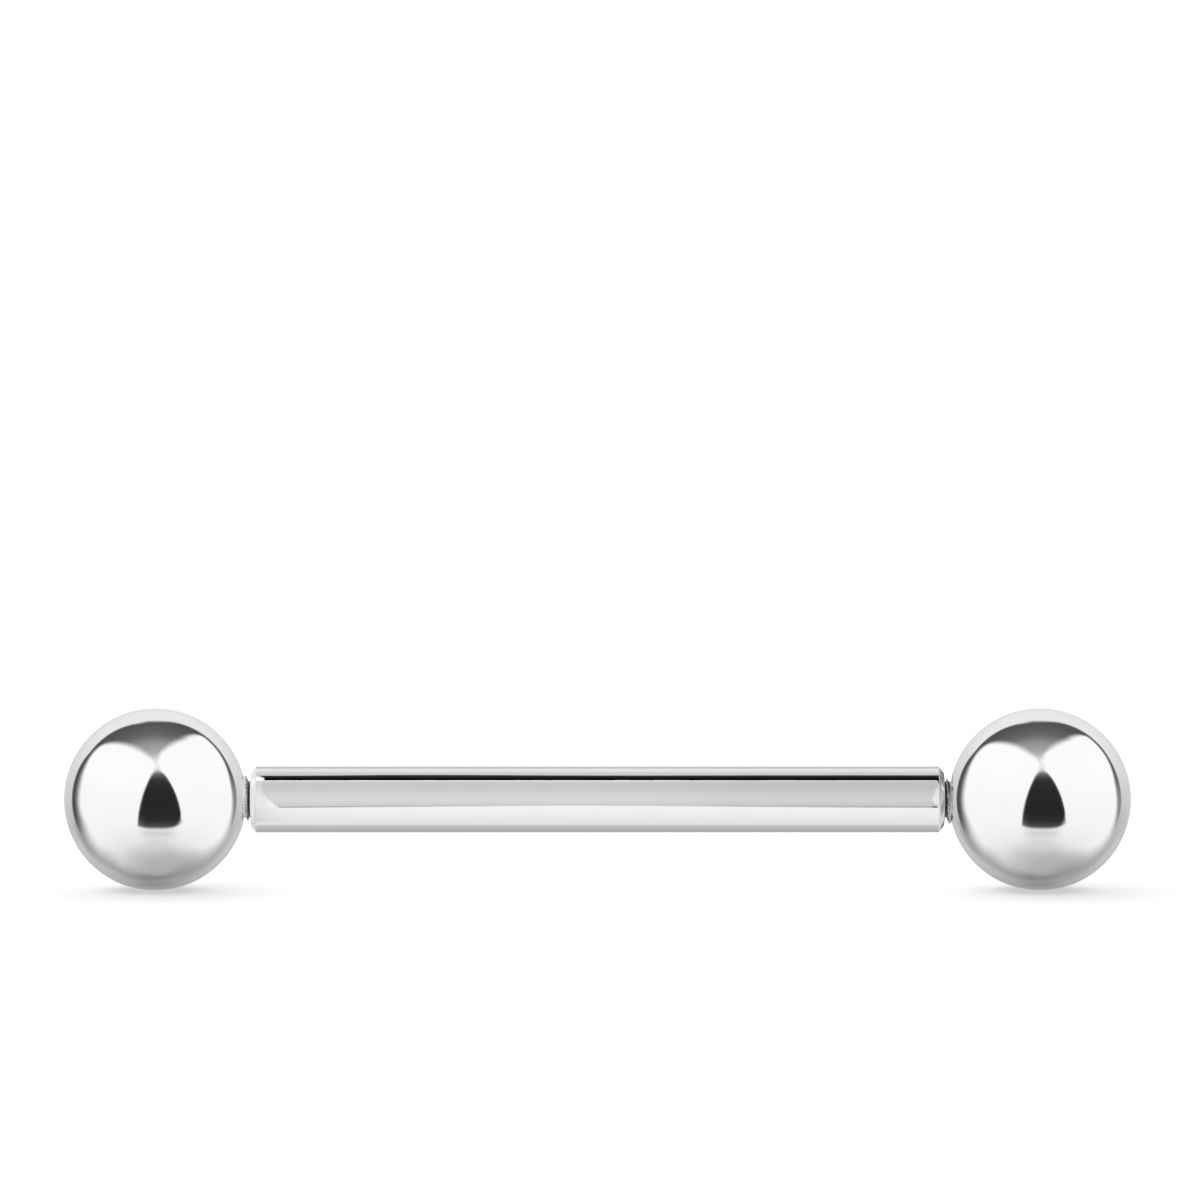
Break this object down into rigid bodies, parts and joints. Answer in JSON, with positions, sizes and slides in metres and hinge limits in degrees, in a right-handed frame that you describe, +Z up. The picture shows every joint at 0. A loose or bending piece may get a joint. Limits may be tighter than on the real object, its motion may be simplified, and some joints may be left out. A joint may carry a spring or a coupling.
{
  "type": "nipple barbell",
  "caption": "Straight polished steel barbell for a piercing, with a ball screwed on the thread at each end of a round bar.",
  "frame": {"origin": "on the surface that the barbell lies on, under the middle of the bar: the centre of the bottom of its box", "axes": "+X along the bar towards the right ball, +Y level and away from the camera of the picture, +Z up"},
  "size_m": [0.0264, 0.0044, 0.0045],
  "materials": {
    "polished_steel_bar": "polished",
    "polished_steel_balls": "polished"
  },
  "bodies": {
    "bar": {"bar": "polished_steel_bar"},
    "left_ball": {"left_ball": "polished_steel_balls"},
    "right_ball": {"right_ball": "polished_steel_balls"}
  },
  "joints": [
    {"name": "left_ball_comes_off", "type": "slide", "parent": "bar", "child": "left_ball", "axis": [-1, 0, 0], "range_m": [0, 0.006]},
    {"name": "right_ball_comes_off", "type": "slide", "parent": "bar", "child": "right_ball", "axis": [1, 0, 0], "range_m": [0, 0.006]}
  ]
}
